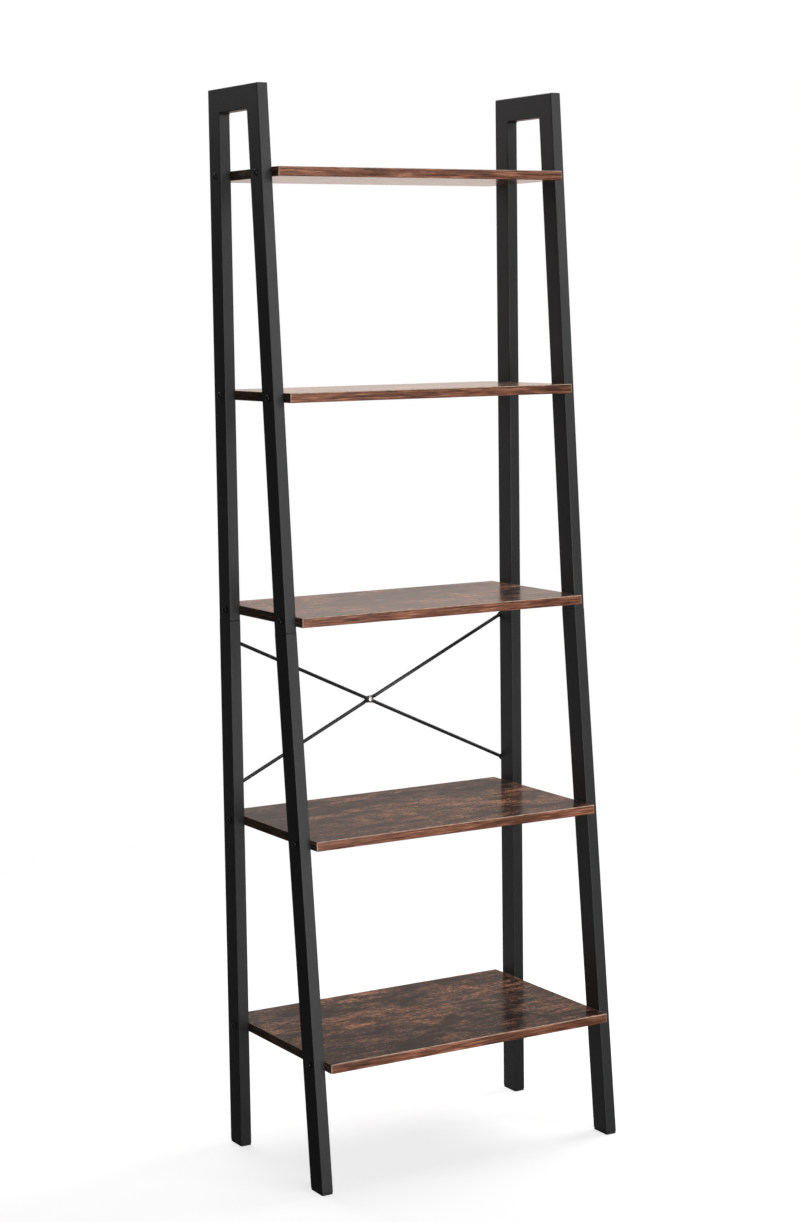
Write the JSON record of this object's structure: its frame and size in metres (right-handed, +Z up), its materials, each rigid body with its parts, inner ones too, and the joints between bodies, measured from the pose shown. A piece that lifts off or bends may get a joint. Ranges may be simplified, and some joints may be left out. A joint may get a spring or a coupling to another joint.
{
  "type": "ladder shelf",
  "caption": "Tall free-standing ladder shelf: black steel side frames that lean in towards the top, brown boards that get deeper towards the floor, and crossed brace rods behind.",
  "frame": {"origin": "on the floor, midway between the side frames and midway between the bottom shelf's front edge and the shelves' rear edges", "axes": "+X to the right of a person facing the shelf, +Y towards the wall, +Z up"},
  "size_m": [0.5648, 0.34, 1.72],
  "materials": {
    "black_powder_coat": "matt to satin, fine texture",
    "rustic_brown_board": "semi-gloss printed laminate",
    "brown_edge_band": "satin printed edge band",
    "black_plastic": "matt moulded",
    "zinc_plated_steel": "zinc plated",
    "black_zinc_screw": "black zinc, satin",
    "bright_nickel_screw": "bright nickel plated"
  },
  "bodies": {
    "root": {"left_top_bar": "black_powder_coat", "left_front_upper_post": "black_powder_coat", "left_front_lower_leg": "black_powder_coat", "left_front_splice_sleeve": "zinc_plated_steel", "left_front_foot_plug": "black_plastic", "left_rear_upper_post": "black_powder_coat", "left_rear_lower_leg": "black_powder_coat", "left_rear_splice_sleeve": "zinc_plated_steel", "left_rear_foot_plug": "black_plastic", "right_top_bar": "black_powder_coat", "right_front_upper_post": "black_powder_coat", "right_front_lower_leg": "black_powder_coat", "right_front_splice_sleeve": "zinc_plated_steel", "right_front_foot_plug": "black_plastic", "right_rear_upper_post": "black_powder_coat", "right_rear_lower_leg": "black_powder_coat", "right_rear_splice_sleeve": "zinc_plated_steel", "right_rear_foot_plug": "black_plastic", "shelf_1_board": "rustic_brown_board", "shelf_1_front_edge_band": "brown_edge_band", "shelf_1_rear_edge_band": "brown_edge_band", "shelf_1_end_edge_bands": "brown_edge_band", "shelf_2_board": "rustic_brown_board", "shelf_2_front_edge_band": "brown_edge_band", "shelf_2_rear_edge_band": "brown_edge_band", "shelf_2_end_edge_bands": "brown_edge_band", "shelf_3_board": "rustic_brown_board", "shelf_3_front_edge_band": "brown_edge_band", "shelf_3_rear_edge_band": "brown_edge_band", "shelf_3_end_edge_bands": "brown_edge_band", "shelf_4_board": "rustic_brown_board", "shelf_4_front_edge_band": "brown_edge_band", "shelf_4_rear_edge_band": "brown_edge_band", "shelf_4_end_edge_bands": "brown_edge_band", "shelf_5_board": "rustic_brown_board", "shelf_5_front_edge_band": "brown_edge_band", "shelf_5_rear_edge_band": "brown_edge_band", "shelf_5_end_edge_bands": "brown_edge_band", "shelf_bolts": "black_zinc_screw", "shelf_threaded_inserts": "zinc_plated_steel", "brace_rod_falling_right": "black_powder_coat", "brace_rod_rising_right": "black_powder_coat", "brace_crossing_bolt": "bright_nickel_screw", "brace_crossing_nut": "zinc_plated_steel", "brace_end_screws": "black_zinc_screw", "brace_rivet_nuts": "zinc_plated_steel"}
  },
  "joints": []
}
